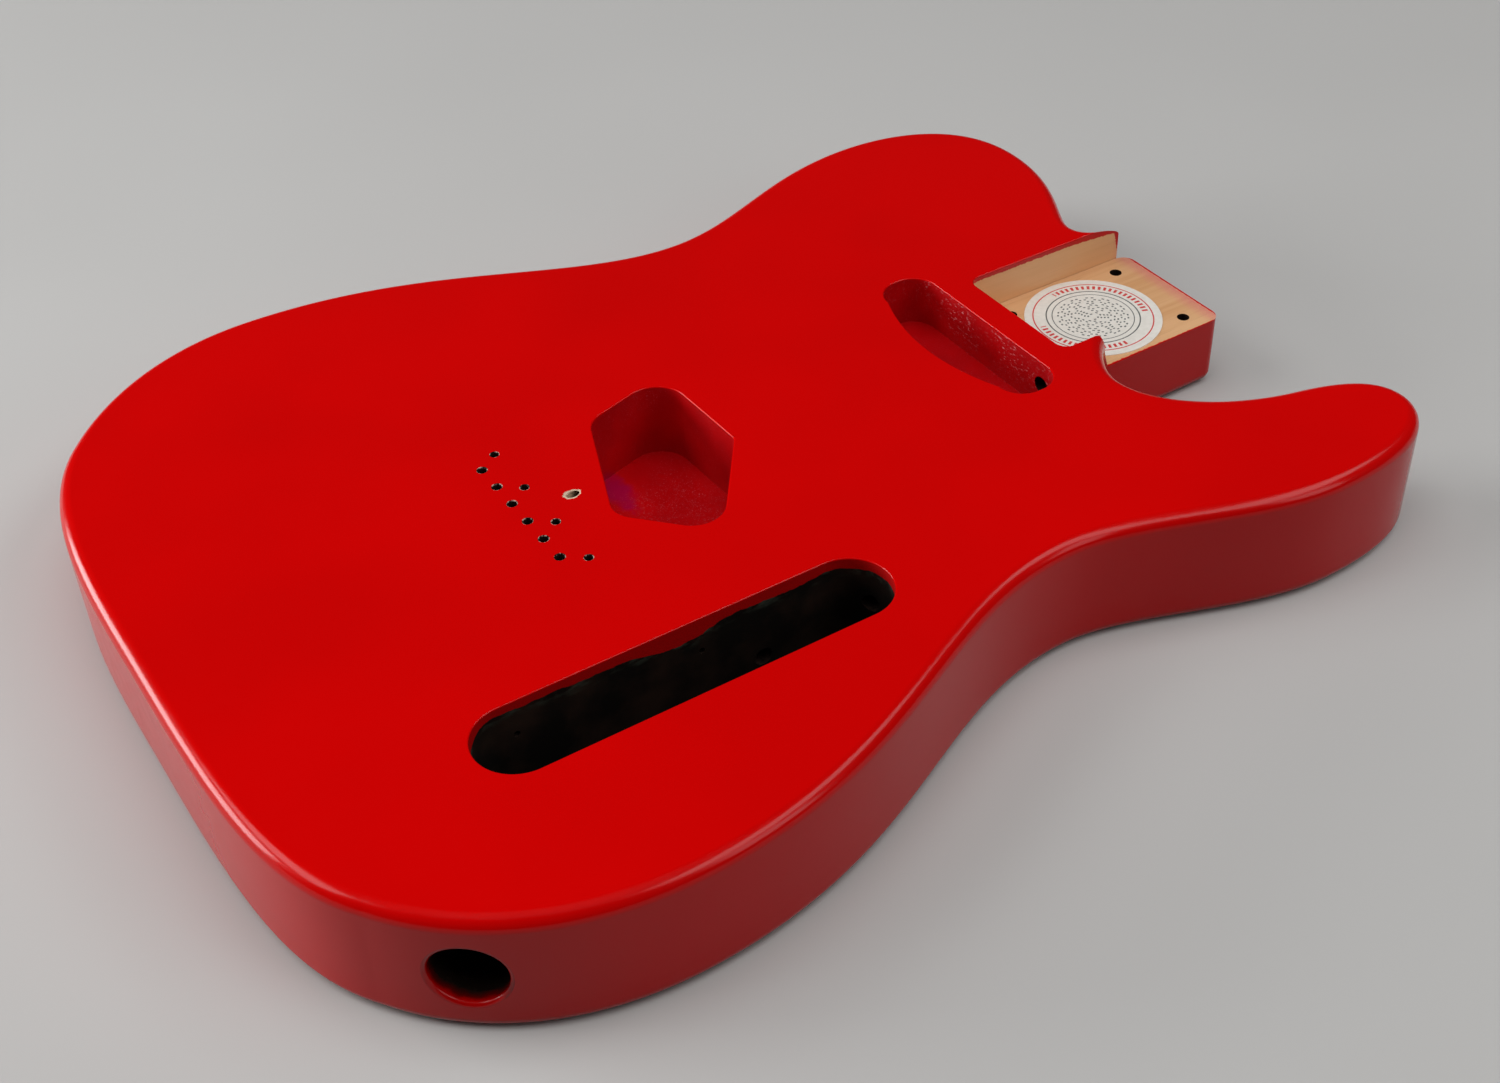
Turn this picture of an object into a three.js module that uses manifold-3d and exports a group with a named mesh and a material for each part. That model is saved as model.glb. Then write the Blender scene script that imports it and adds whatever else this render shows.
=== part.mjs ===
// A bare solid body for an electric guitar: a single-cutaway slab, glued up from three boards,
// routed and drilled for its neck, pickups, controls, strings and jack, with a round paper label
// in the neck pocket. Millimetres. +X points towards the neck, +Y to the bass side, +Z out of the
// front. The shapes are laid out from the back face, the centre line and the pocket's end wall.
// The whole is then moved, so that the origin lies amid the four neck screws.

import * as THREE from "three";
import { mergeVertices } from "three/addons/utils/BufferGeometryUtils.js";
import Module from "manifold-3d";

const wasm = await Module();
wasm.setup();

// Driving dimensions of the slab
const bodyLength = 407.4;
const bodyWidth = 321.4;
const bodyThickness = 44;
const edgeRadius = 4.8;

// Glued boards: both seams run along the body, and the treble one passes through the control cavity
const centreBoardWidth = 176;

// Heel and neck pocket
const heelLength = 76.8;
const pocketWidth = 55;
const pocketTaper = 1.4;
const pocketDepth = 15.9;
const pocketCornerRadius = 4.5;
const heelCornerRadius = 5;
const heelMargin = 0.3;
const trebleEarTop = 16.2;
const trebleEarFoot = 21.5;
const trebleFilletLength = 20.4;
const trebleFilletHandle = 3.2;

// The ear and the notch where the bass shoulder meets the heel
const earAngle = 80;
const earHandle = 12;
const notchSetback = 19.8;
const notchRise = 9.9;
const notchHandle = 5;

// Neck screws
const neckScrewHole = 4.6;
const neckScrewSpacingX = 50.8;
const neckScrewSpacingY = 38.1;
const neckScrewRowX = 14.3;

// Neck pickup rout
const neckRoutSetback = 11.6;
const neckRoutLength = 84;
const neckRoutWidth = 21;
const neckRoutBulge = 6.6;
const neckRoutCornerRadius = 9.5;
const neckRoutDepth = 19;

// Bridge pickup rout, slanted as its pickup is
const bridgeRoutSetback = 123;
const bridgeRoutSpanX = 53.5;
const bridgeRoutSpanY = 85.3;
const bridgeRoutTrebleReach = 44.9;
const bridgeRoutDepth = 28;

// Control cavity
const cavitySetback = 121;
const cavityLength = 141;
const cavityWidth = 28;
const cavityDepth = 38;
const cavityOffset = 90.3;
const lugHole = 2.2;
const lugHoleDepth = 6;
const lugHoleHeight = 30.8;
const frontLugFromRear = 82.4;
const rearLugFromRear = 19.4;

// Bridge: strings pass through the body, and four wood screws hold the plate
const stringCount = 6;
const stringSpacing = 10.8;
const stringRowSetback = 200.6;
const stringHole = 3.2;
const ferruleBore = 8;
const ferruleDepth = 10;
const bridgeScrewCount = 4;
const bridgeScrewSpacing = 21.6;
const bridgeScrewAhead = 7.3;
const bridgeScrewHole = 2.8;
const bridgeScrewDepth = 22;

// Drilled ways for the wires
const wireBore = 6.4;
const neckWireY = 24.5;
const neckWireHeight = 35.3;
const neckWireDrop = 9;
const bridgeWireX = 153;
const bridgeWireLean = 6;
const bridgeWireHeight = 21;
const bridgeWireDrop = 5;
const groundHole = 3.2;
const groundSetback = 182.4;
const groundOffset = 1.1;
const groundReach = 15;
const groundDrop = 12.5;

// Output jack, bored through the side into the rear end of the control cavity
const jackBore = 22.2;
const jackAngle = 229;
const jackReach = 90;

// Label on the pocket floor
const labelDiameter = 51;
const labelThickness = 0.3;
const labelX = 37.9;

// How finely curves are cut, and how far cutters run past a face
const overrun = 2;
const edgeSteps = 4;
const spanSteps = 12;
const cornerSteps = 6;
const stadiumSteps = 12;
const smallHoleSides = 10;
const boreSides = 16;
const jackSides = 36;
const labelSides = 56;

// The bouts, as knots with the direction of travel and the reach of the curve on both sides.
// x and the reaches are shares of the length, y is a share of the width. The first knot is the
// top of the bass shoulder and the last is the bottom of the cutaway.
const boutShares = [
  { x: 0.1851, y: 0.2925, angle: 90, before: 0.074, after: 0.0827 },
  { x: 0.0515, y: 0.4343, angle: 180, before: 0.0643, after: 0.0999 },
  { x: -0.1866, y: 0.3584, angle: 180, before: 0.0746, after: 0.1082 },
  { x: -0.5695, y: 0.4991, angle: 180, before: 0.1819, after: 0.1156 },
  { x: -0.7572, y: 0.378, angle: 230, before: 0.0123, after: 0.0903 },
  { x: -0.809, y: 0, angle: 270, before: 0.0955, after: 0.1554 },
  { x: -0.7634, y: -0.3765, angle: 307, before: 0.0709, after: 0.0135 },
  { x: -0.5646, y: -0.5009, angle: 360, before: 0.137, after: 0.1878 },
  { x: -0.162, y: -0.3516, angle: 360, before: 0.1301, after: 0.068 },
  { x: 0.0687, y: -0.4263, angle: 360, before: 0.083, after: 0.1031 },
  { x: 0.191, y: -0.3531, angle: 448, before: 0.0201, after: 0.0434 },
  { x: 0.1129, y: -0.2775, angle: 524, before: 0.0201, after: 0.0633 },
  { x: 0.0123, y: -0.1602, angle: 450, before: 0.0361, after: 0.0258 },
];

// Corners of the bridge rout: x and the radius are shares of its span along the body, y of its
// span across
const bridgeRoutShares = [
  { x: 0.972, y: 1, radius: 0.21 },
  { x: 0.342, y: 0.885, radius: 0.19 },
  { x: 0, y: 0.315, radius: 0.17 },
  { x: 0.462, y: 0, radius: 0.2 },
  { x: 1, y: 0.461, radius: 0.075 },
];

const radians = THREE.MathUtils.degToRad;
const pocketFloor = bodyThickness - pocketDepth;
const heelBassHalf = (pocketWidth - pocketTaper) / 2;
const heelTrebleHalf = heelBassHalf + heelMargin;
const cavityFrontX = -cavitySetback;
const cavityRearX = cavityFrontX - cavityLength;
const cavityEndRadius = cavityWidth / 2;
const cavityFrontCentre = cavityFrontX - cavityEndRadius;
const cavityRearCentre = cavityRearX + cavityEndRadius;

// Half the pocket's width at a distance from its end wall: the pocket narrows towards the neck
function pocketHalf(x) {
  return pocketWidth / 2 - (pocketTaper / 2) * (x / heelLength);
}

function heading(degrees) {
  return new THREE.Vector2(Math.cos(radians(degrees)), Math.sin(radians(degrees)));
}

// A smooth span from one knot to the next, each with its place, heading and reach
function span(from, to) {
  return new THREE.CubicBezierCurve(
    from.at,
    from.at.clone().addScaledVector(heading(from.angle), from.after),
    to.at.clone().addScaledVector(heading(to.angle), -to.before),
    to.at,
  );
}

// The curves round the slab, counter-clockwise, from the heel's front face
function outlineCurves() {
  const cornerX = heelLength - heelCornerRadius;
  const bassCornerY = heelBassHalf - heelCornerRadius;
  const trebleCornerY = -heelTrebleHalf + heelCornerRadius;
  const earStart = new THREE.Vector2(cornerX, bassCornerY);
  earStart.addScaledVector(heading(earAngle), heelCornerRadius);
  const knots = boutShares.map((k) => ({
    at: new THREE.Vector2(k.x * bodyLength, k.y * bodyWidth),
    angle: k.angle,
    before: k.before * bodyLength,
    after: k.after * bodyLength,
  }));
  knots.unshift({
    at: new THREE.Vector2(heelLength - notchSetback, heelBassHalf + notchRise),
    angle: 90,
    before: notchHandle,
    after: 2 * notchHandle,
  });
  knots.unshift({ at: earStart, angle: 90 + earAngle, before: 0, after: earHandle });
  knots.push({
    at: new THREE.Vector2(trebleFilletLength, -pocketHalf(trebleFilletLength) - heelMargin),
    angle: 360,
    before: trebleFilletHandle,
    after: 0,
  });
  const spans = knots.slice(1).map((knot, i) => span(knots[i], knot));
  const front = new THREE.LineCurve(
    new THREE.Vector2(heelLength, trebleCornerY),
    new THREE.Vector2(heelLength, bassCornerY),
  );
  const bassCorner = new THREE.EllipseCurve(
    cornerX, bassCornerY, heelCornerRadius, heelCornerRadius, 0, radians(earAngle),
  );
  const heelSide = new THREE.LineCurve(
    knots.at(-1).at,
    new THREE.Vector2(cornerX, -heelTrebleHalf),
  );
  const trebleCorner = new THREE.EllipseCurve(
    cornerX, trebleCornerY, heelCornerRadius, heelCornerRadius, -Math.PI / 2, 0,
  );
  return [front, bassCorner, ...spans, heelSide, trebleCorner];
}

// Points round the outline, each with its outward normal
function outlinePoints() {
  const points = [];
  for (const curve of outlineCurves()) {
    const steps = curve.isLineCurve ? 1 : curve.isEllipseCurve ? cornerSteps : spanSteps;
    for (let i = 0; i < steps; i++) {
      const tangent = curve.getTangent(i / steps);
      points.push({ at: curve.getPoint(i / steps), out: new THREE.Vector2(tangent.y, -tangent.x) });
    }
  }
  return points;
}

function toSolid(geometry) {
  const bare = geometry.clone();
  bare.deleteAttribute("normal");
  bare.deleteAttribute("uv");
  const merged = mergeVertices(bare);
  return new wasm.Manifold(
    new wasm.Mesh({
      numProp: 3,
      vertProperties: merged.attributes.position.array,
      triVerts: new Uint32Array(merged.index.array),
    }),
  );
}

function toMesh(name, solid, material) {
  const data = solid.getMesh();
  const geometry = new THREE.BufferGeometry();
  geometry.setAttribute("position", new THREE.BufferAttribute(data.vertProperties, 3));
  geometry.setIndex(new THREE.BufferAttribute(data.triVerts, 1));
  geometry.computeVertexNormals();
  const mesh = new THREE.Mesh(geometry, material);
  mesh.name = name;
  return mesh;
}

// The slab before routing: the outline stacked in rings, drawn in along both rounded edges
function slabSolid() {
  const points = outlinePoints();
  const rings = [];
  for (let i = 0; i <= edgeSteps; i++) {
    const turn = (Math.PI / 2) * (1 - i / edgeSteps);
    rings.push({ inset: edgeRadius * (1 - Math.cos(turn)), z: edgeRadius * (1 - Math.sin(turn)) });
  }
  for (let i = 0; i <= edgeSteps; i++) {
    const turn = (Math.PI / 2) * (i / edgeSteps);
    const z = bodyThickness - edgeRadius * (1 - Math.sin(turn));
    rings.push({ inset: edgeRadius * (1 - Math.cos(turn)), z });
  }
  const around = points.length;
  const position = [];
  for (const ring of rings) {
    for (const p of points) {
      const at = p.at.clone().addScaledVector(p.out, -ring.inset);
      position.push(at.x, at.y, ring.z);
    }
  }
  const index = [];
  for (let r = 0; r + 1 < rings.length; r++) {
    for (let i = 0; i < around; i++) {
      const a = r * around + i;
      const b = r * around + ((i + 1) % around);
      index.push(a, b, b + around, a, b + around, a + around);
    }
  }
  const topStart = (rings.length - 1) * around;
  const rim = points.map((p) => p.at.clone().addScaledVector(p.out, -edgeRadius));
  for (const [a, b, c] of THREE.ShapeUtils.triangulateShape(rim, [])) {
    index.push(topStart + a, topStart + b, topStart + c);
    index.push(a, c, b);
  }
  const geometry = new THREE.BufferGeometry();
  geometry.setAttribute("position", new THREE.Float32BufferAttribute(position, 3));
  geometry.setIndex(index);
  return toSolid(geometry);
}

// A block that holds the part of the slab between two values of y
function boardBlank(lowY, highY) {
  const length = 2 * bodyLength + 2 * overrun;
  const box = new THREE.BoxGeometry(length, highY - lowY, bodyThickness + 2 * overrun);
  box.translate(0, (lowY + highY) / 2, bodyThickness / 2);
  return toSolid(box);
}

// A straight cutter with a plan shape, from a height up past the front face
function routSolid(shape, floor, curveSegments) {
  const depth = bodyThickness + overrun - floor;
  const geometry = new THREE.ExtrudeGeometry(shape, { depth, bevelEnabled: false, curveSegments });
  geometry.translate(0, 0, floor);
  return toSolid(geometry);
}

// A round cutter between two points
function boreSolid(from, to, diameter, sides) {
  const way = new THREE.Vector3().subVectors(to, from);
  const geometry = new THREE.CylinderGeometry(diameter / 2, diameter / 2, way.length(), sides);
  const up = new THREE.Vector3(0, 1, 0);
  const turn = new THREE.Quaternion().setFromUnitVectors(up, way.clone().normalize());
  geometry.applyQuaternion(turn);
  const middle = from.clone().add(to).multiplyScalar(1 / 2);
  geometry.translate(middle.x, middle.y, middle.z);
  return toSolid(geometry);
}

function uprightBore(x, y, low, high, diameter, sides) {
  return boreSolid(new THREE.Vector3(x, y, low), new THREE.Vector3(x, y, high), diameter, sides);
}

// A closed shape through corners given counter-clockwise, each rounded to its own radius
function roundedShape(corners) {
  const shape = new THREE.Shape();
  corners.forEach((corner, i) => {
    const here = new THREE.Vector2(corner.x, corner.y);
    const last = corners.at(i - 1);
    const next = corners[(i + 1) % corners.length];
    const back = new THREE.Vector2(last.x, last.y).sub(here).normalize();
    const ahead = new THREE.Vector2(next.x, next.y).sub(here).normalize();
    const half = Math.acos(back.dot(ahead)) / 2;
    const bisector = back.clone().add(ahead).normalize();
    const centre = here.clone().addScaledVector(bisector, corner.radius / Math.sin(half));
    const start = here.clone().addScaledVector(back, corner.radius / Math.tan(half));
    const end = here.clone().addScaledVector(ahead, corner.radius / Math.tan(half));
    if (i === 0) shape.moveTo(start.x, start.y);
    else shape.lineTo(start.x, start.y);
    const from = start.clone().sub(centre).angle();
    const to = end.clone().sub(centre).angle();
    shape.absarc(centre.x, centre.y, corner.radius, from, to, false);
  });
  shape.closePath();
  return shape;
}

// The pocket is open at the heel's front
function pocketCutter() {
  const shape = new THREE.Shape();
  const half = pocketHalf(0);
  const r = pocketCornerRadius;
  const farX = heelLength + overrun;
  shape.moveTo(0, half - r);
  shape.absarc(r, -half + r, r, Math.PI, 1.5 * Math.PI, false);
  shape.lineTo(farX, -pocketHalf(farX));
  shape.lineTo(farX, pocketHalf(farX));
  shape.absarc(r, half - r, r, Math.PI / 2, Math.PI, false);
  shape.closePath();
  return routSolid(shape, pocketFloor, cornerSteps);
}

// The pocket is open on the treble side too, past a short ear whose end leans back from the floor
// to the front face
function earCutter() {
  const shape = new THREE.Shape();
  const farX = heelLength + overrun;
  shape.moveTo(trebleEarFoot, pocketFloor);
  shape.lineTo(farX, pocketFloor);
  shape.lineTo(farX, bodyThickness + overrun);
  shape.lineTo(trebleEarTop, bodyThickness + overrun);
  shape.lineTo(trebleEarTop, bodyThickness);
  shape.closePath();
  const geometry = new THREE.ExtrudeGeometry(shape, { depth: pocketWidth, bevelEnabled: false });
  geometry.rotateX(Math.PI / 2);
  return toSolid(geometry);
}

// Straight on the neck side, bowed out towards the bridge
function neckRoutCutter() {
  const frontX = -neckRoutSetback;
  const rearX = frontX - neckRoutWidth;
  const half = neckRoutLength / 2;
  const r = neckRoutCornerRadius;
  const shape = new THREE.Shape();
  shape.moveTo(frontX, -half + r);
  shape.lineTo(frontX, half - r);
  shape.absarc(frontX - r, half - r, r, 0, Math.PI / 2, false);
  shape.absarc(rearX + r, half - r, r, Math.PI / 2, Math.PI, false);
  shape.quadraticCurveTo(rearX - 2 * neckRoutBulge, 0, rearX, -half + r);
  shape.absarc(rearX + r, -half + r, r, Math.PI, 1.5 * Math.PI, false);
  shape.absarc(frontX - r, -half + r, r, 1.5 * Math.PI, 2 * Math.PI, false);
  shape.closePath();
  return routSolid(shape, bodyThickness - neckRoutDepth, cornerSteps);
}

function bridgeRoutCutter() {
  const lowX = -bridgeRoutSetback - bridgeRoutSpanX;
  const corners = bridgeRoutShares.map((c) => ({
    x: lowX + c.x * bridgeRoutSpanX,
    y: -bridgeRoutTrebleReach + c.y * bridgeRoutSpanY,
    radius: c.radius * bridgeRoutSpanX,
  }));
  return routSolid(roundedShape(corners), bodyThickness - bridgeRoutDepth, cornerSteps);
}

function cavityCutter() {
  const shape = new THREE.Shape();
  const r = cavityEndRadius;
  shape.absarc(cavityFrontCentre, -cavityOffset, r, -Math.PI / 2, Math.PI / 2, false);
  shape.absarc(cavityRearCentre, -cavityOffset, r, Math.PI / 2, 1.5 * Math.PI, false);
  shape.closePath();
  return routSolid(shape, bodyThickness - cavityDepth, stadiumSteps);
}

// Two small holes in the cavity's bass wall for the screws of a ground lug
function lugCutters() {
  return [rearLugFromRear, frontLugFromRear].map((fromRear) => {
    const x = cavityRearX + fromRear;
    const wall = -cavityOffset + cavityEndRadius;
    const from = new THREE.Vector3(x, wall - overrun, lugHoleHeight);
    const to = new THREE.Vector3(x, wall + lugHoleDepth, lugHoleHeight);
    return boreSolid(from, to, lugHole, smallHoleSides);
  });
}

function neckScrewCutters() {
  const cutters = [];
  for (const x of [neckScrewRowX, neckScrewRowX + neckScrewSpacingX]) {
    for (const side of [-1, 1]) {
      const y = (side * neckScrewSpacingY) / 2;
      const high = pocketFloor + overrun;
      cutters.push(uprightBore(x, y, -overrun, high, neckScrewHole, boreSides));
    }
  }
  return cutters;
}

// Each string has a small hole right through, opened out at the back for its ferrule
function stringCutters() {
  const cutters = [];
  for (let i = 0; i < stringCount; i++) {
    const y = (i - (stringCount - 1) / 2) * stringSpacing;
    const high = bodyThickness + overrun;
    const x = -stringRowSetback;
    cutters.push(uprightBore(x, y, -overrun, high, stringHole, smallHoleSides));
    cutters.push(uprightBore(x, y, -overrun, ferruleDepth, ferruleBore, boreSides));
  }
  return cutters;
}

function bridgeScrewCutters() {
  const cutters = [];
  for (let i = 0; i < bridgeScrewCount; i++) {
    const x = -stringRowSetback + bridgeScrewAhead;
    const y = (i - (bridgeScrewCount - 1) / 2) * bridgeScrewSpacing;
    const low = bodyThickness - bridgeScrewDepth;
    cutters.push(uprightBore(x, y, low, bodyThickness + overrun, bridgeScrewHole, smallHoleSides));
  }
  return cutters;
}

// One long hole, drilled from the neck pocket through the neck rout into the control cavity
function neckWireCutter() {
  const mouth = new THREE.Vector3(0, -neckWireY, neckWireHeight);
  const end = new THREE.Vector3(cavityFrontCentre, -cavityOffset, neckWireHeight - neckWireDrop);
  const back = mouth.clone().sub(end).normalize();
  mouth.addScaledVector(back, overrun);
  return boreSolid(mouth, end, wireBore, boreSides);
}

function bridgeWireCutter() {
  const reach = bridgeRoutTrebleReach / 2;
  const from = new THREE.Vector3(-bridgeWireX, -reach, bridgeWireHeight);
  const to = from.clone();
  to.x -= bridgeWireLean;
  to.y = -cavityOffset;
  to.z -= bridgeWireDrop;
  return boreSolid(from, to, wireBore, boreSides);
}

// A slanted hole from under the bridge plate into the bridge rout
function groundCutter() {
  const way = new THREE.Vector3(groundReach, 0, -groundDrop);
  const from = new THREE.Vector3(-groundSetback, -groundOffset, bodyThickness);
  const to = from.clone().add(way);
  from.addScaledVector(way.normalize(), -overrun);
  return boreSolid(from, to, groundHole, smallHoleSides);
}

function jackCutter() {
  const from = new THREE.Vector3(cavityRearCentre, -cavityOffset, bodyThickness / 2);
  const way = heading(jackAngle);
  const to = from.clone().add(new THREE.Vector3(way.x * jackReach, way.y * jackReach, 0));
  return boreSolid(from, to, jackBore, jackSides);
}

// Colours and sheen
const lacquer = new THREE.MeshStandardMaterial({ color: 0xc00000, roughness: 0.35, metalness: 0 });
const paper = new THREE.MeshStandardMaterial({ color: 0xe9e4dc, roughness: 0.6, metalness: 0 });

function boards() {
  const cutters = [
    pocketCutter(),
    earCutter(),
    neckRoutCutter(),
    bridgeRoutCutter(),
    cavityCutter(),
    neckWireCutter(),
    bridgeWireCutter(),
    groundCutter(),
    jackCutter(),
    ...lugCutters(),
    ...neckScrewCutters(),
    ...stringCutters(),
    ...bridgeScrewCutters(),
  ];
  const slab = cutters.reduce((solid, cutter) => solid.subtract(cutter), slabSolid());
  const seam = centreBoardWidth / 2;
  const far = bodyWidth;
  return [
    toMesh("bass_side_board", slab.intersect(boardBlank(seam, far)), lacquer),
    toMesh("centre_board", slab.intersect(boardBlank(-seam, seam)), lacquer),
    toMesh("treble_side_board", slab.intersect(boardBlank(-far, -seam)), lacquer),
  ];
}

function label() {
  const radius = labelDiameter / 2;
  const geometry = new THREE.CylinderGeometry(radius, radius, labelThickness, labelSides);
  geometry.rotateX(Math.PI / 2);
  const mesh = new THREE.Mesh(geometry, paper);
  mesh.name = "pocket_label";
  mesh.position.set(labelX, 0, pocketFloor + labelThickness / 2);
  return mesh;
}

const laidOut = new THREE.Group();
laidOut.add(...boards(), label());
laidOut.position.x = -neckScrewRowX - neckScrewSpacingX / 2;

const guitarBody = new THREE.Group();
guitarBody.name = "guitar_body";
guitarBody.add(laidOut);

export default guitarBody;
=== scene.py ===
import math

import bmesh
import bpy
from mathutils import Matrix, Vector


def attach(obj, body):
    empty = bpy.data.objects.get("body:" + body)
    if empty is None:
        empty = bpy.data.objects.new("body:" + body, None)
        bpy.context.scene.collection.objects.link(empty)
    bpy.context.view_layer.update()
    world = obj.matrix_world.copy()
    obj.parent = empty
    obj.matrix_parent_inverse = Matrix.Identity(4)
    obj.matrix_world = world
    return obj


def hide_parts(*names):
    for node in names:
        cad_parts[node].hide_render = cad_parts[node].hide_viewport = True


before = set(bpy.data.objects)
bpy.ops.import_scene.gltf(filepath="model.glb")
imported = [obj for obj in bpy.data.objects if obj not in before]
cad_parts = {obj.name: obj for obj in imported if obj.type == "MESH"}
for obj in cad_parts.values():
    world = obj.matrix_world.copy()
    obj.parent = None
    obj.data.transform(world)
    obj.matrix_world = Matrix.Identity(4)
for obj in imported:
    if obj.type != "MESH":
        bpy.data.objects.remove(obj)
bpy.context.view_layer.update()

# A bare single-cutaway guitar body in red lacquer, lying on its back. Sizes are in millimetres and
# laid out as the CAD part is: from the pocket's end wall, the centre line and the back face.
MM = 0.001
LAYOUT_SHIFT = -39.7

# Slab
BODY_LENGTH = 407.4
BODY_WIDTH = 321.4
BODY_THICKNESS = 44.0
EDGE_RADIUS = 4.8
SEAM_Y = 88.0
SIDE_REACH = 190.0

# Heel and neck pocket
HEEL_LENGTH = 76.8
POCKET_WIDTH = 55.0
POCKET_TAPER = 1.4
POCKET_DEPTH = 15.9
POCKET_CORNER = 4.5
HEEL_CORNER = 5.0
HEEL_MARGIN = 0.3
TREBLE_EAR_TOP = 16.2
TREBLE_EAR_FOOT = 21.5
TREBLE_FILLET_LENGTH = 20.4
TREBLE_FILLET_HANDLE = 3.2
EAR_ANGLE = 80
EAR_HANDLE = 12.0
NOTCH_SETBACK = 19.8
NOTCH_RISE = 9.9
NOTCH_HANDLE = 5.0
POCKET_FLOOR = BODY_THICKNESS - POCKET_DEPTH
HEEL_BASS_HALF = (POCKET_WIDTH - POCKET_TAPER) / 2
HEEL_TREBLE_HALF = HEEL_BASS_HALF + HEEL_MARGIN

# The bouts: knots with the direction of travel and the curve's reach on both sides, as shares of
# the length, but of the width for y
BOUT_SHARES = [
    (0.1851, 0.2925, 90, 0.074, 0.0827),
    (0.0515, 0.4343, 180, 0.0643, 0.0999),
    (-0.1866, 0.3584, 180, 0.0746, 0.1082),
    (-0.5695, 0.4991, 180, 0.1819, 0.1156),
    (-0.7572, 0.378, 230, 0.0123, 0.0903),
    (-0.809, 0.0, 270, 0.0955, 0.1554),
    (-0.7634, -0.3765, 307, 0.0709, 0.0135),
    (-0.5646, -0.5009, 360, 0.137, 0.1878),
    (-0.162, -0.3516, 360, 0.1301, 0.068),
    (0.0687, -0.4263, 360, 0.083, 0.1031),
    (0.191, -0.3531, 448, 0.0201, 0.0434),
    (0.1129, -0.2775, 524, 0.0201, 0.0633),
    (0.0123, -0.1602, 450, 0.0361, 0.0258),
]

# Screw holes of the neck
NECK_HOLE = 4.6
NECK_SPACING_X = 50.8
NECK_SPACING_Y = 38.1
NECK_ROW_X = 14.3

# Neck pickup rout
NECK_ROUT_SETBACK = 11.6
NECK_ROUT_LENGTH = 84.0
NECK_ROUT_WIDTH = 21.0
NECK_ROUT_BULGE = 6.6
NECK_ROUT_CORNER = 9.5
NECK_ROUT_DEPTH = 19.0

# Bridge pickup rout: corners and their radii, as shares of its spans
BRIDGE_ROUT_SETBACK = 123.0
BRIDGE_ROUT_SPAN_X = 53.5
BRIDGE_ROUT_SPAN_Y = 85.3
BRIDGE_ROUT_REACH = 44.9
BRIDGE_ROUT_DEPTH = 28.0
BRIDGE_ROUT_SHARES = [
    (0.972, 1.0, 0.21),
    (0.342, 0.885, 0.19),
    (0.0, 0.315, 0.17),
    (0.462, 0.0, 0.2),
    (1.0, 0.461, 0.075),
]

# Control cavity
CAVITY_SETBACK = 121.0
CAVITY_LENGTH = 141.0
CAVITY_WIDTH = 28.0
CAVITY_DEPTH = 38.0
CAVITY_Y = -90.3
LUG_HOLE = 2.2
LUG_DEPTH = 6.0
LUG_HEIGHT = 30.8
LUG_FROM_REAR = [82.4, 19.4]

# Bridge: string holes with their ferrule bores, and screw holes
STRING_COUNT = 6
STRING_SPACING = 10.8
STRING_SETBACK = 200.6
STRING_HOLE = 3.2
FERRULE_BORE = 8.0
FERRULE_DEPTH = 10.0
BRIDGE_SCREW_COUNT = 4
BRIDGE_SCREW_SPACING = 21.6
BRIDGE_SCREW_AHEAD = 7.3
BRIDGE_SCREW_HOLE = 2.8
BRIDGE_SCREW_DEPTH = 22.0
SCREW_TIP_SHARE = 0.1

# Wire ways, as a start point, an end point and a diameter, and the jack bore
NECK_WIRE = ((0.0, -24.5, 35.3), (-135.0, -90.3, 26.3), 6.4)
BRIDGE_WIRE = ((-153.0, -22.45, 21.0), (-159.0, -90.3, 16.0), 6.4)
GROUND_WIRE = ((-182.4, -1.1, 44.0), (-167.4, -1.1, 31.5), 3.2)
CHIP_MIDDLE = (-182.3, -1.2)
CHIP_HALF = (2.9, 2.0)
CHIP_DEPTH = 0.25
CHIP_SIDES = 96
CHIP_WAVE_SHARES = [(0.05, 3, 1), (0.05, 7, 0), (0.03, 17, 0)]
JACK_BORE = 22.2
JACK_ANGLE = 229

# Softened edges: rims of routs, pocket and holes, feet of their walls
ROUT_RIM = 0.5
POCKET_RIM = 0.45
HOLE_RIM = 0.3
JACK_LIP = 1.5
ROUT_FOOT = 0.1
POCKET_FOOT = 0.1
OVERRUN = 2.0

# Edges of paint: how far red creeps into the pocket, where the bridge rout has its violet patch and
# dry streaks set in, and where the cavity's and the jack bore's red ends
POCKET_MASK_TOP = 41.8
POCKET_MASK_BEND = 35.0
POCKET_MASK_DROP = 2.4
POCKET_MASK_LEAN = 0.26
POCKET_MASK_END = 80.1
POCKET_MASK_BLUR = 0.3
VIOLET_SPOT = (-153.5, 22.0)
VIOLET_REACH = 13.0
STREAK_HEIGHTS = (27.0, 38.0)
STREAK_ALONG = (-110.0, -90.0)
CAVITY_BAND_FOOT = 40.2
CAVITY_BAND_RISE = 3.4
CAVITY_BAND_ALONG = (-150.0, -128.0)
JACK_PAINT_INSET = 2.6

# Label, printed with rings, two arcs of ticks and a rosette of short dashes. An arc is its middle
# and half its width, in degrees, and a dash takes up a whole number of the grid's cells
LABEL_X = 37.9
LABEL_RADIUS = 25.5
LABEL_THICKNESS = 0.3
LABEL_EDGE = 0.08
LABEL_RINGS = [(17.1, 17.6, "grey"), (15.0, 15.35, "grey"), (22.0, 22.5, "red")]
LABEL_TICKS = (18.9, 21.1)
TICK_ARCS = [(35, 62), (215, 52)]
ROSETTE_START = 1.5
ROSETTE_STEP = 0.62
ROSETTE_COUNT = 20
DASH_LIMIT = 1.05
DASH_CELLS = [40, 30, 24, 20, 12, 10, 8, 6, 5, 4, 3, 2]

# How close two corners count as one, in metres
WELD = 1e-6

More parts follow.
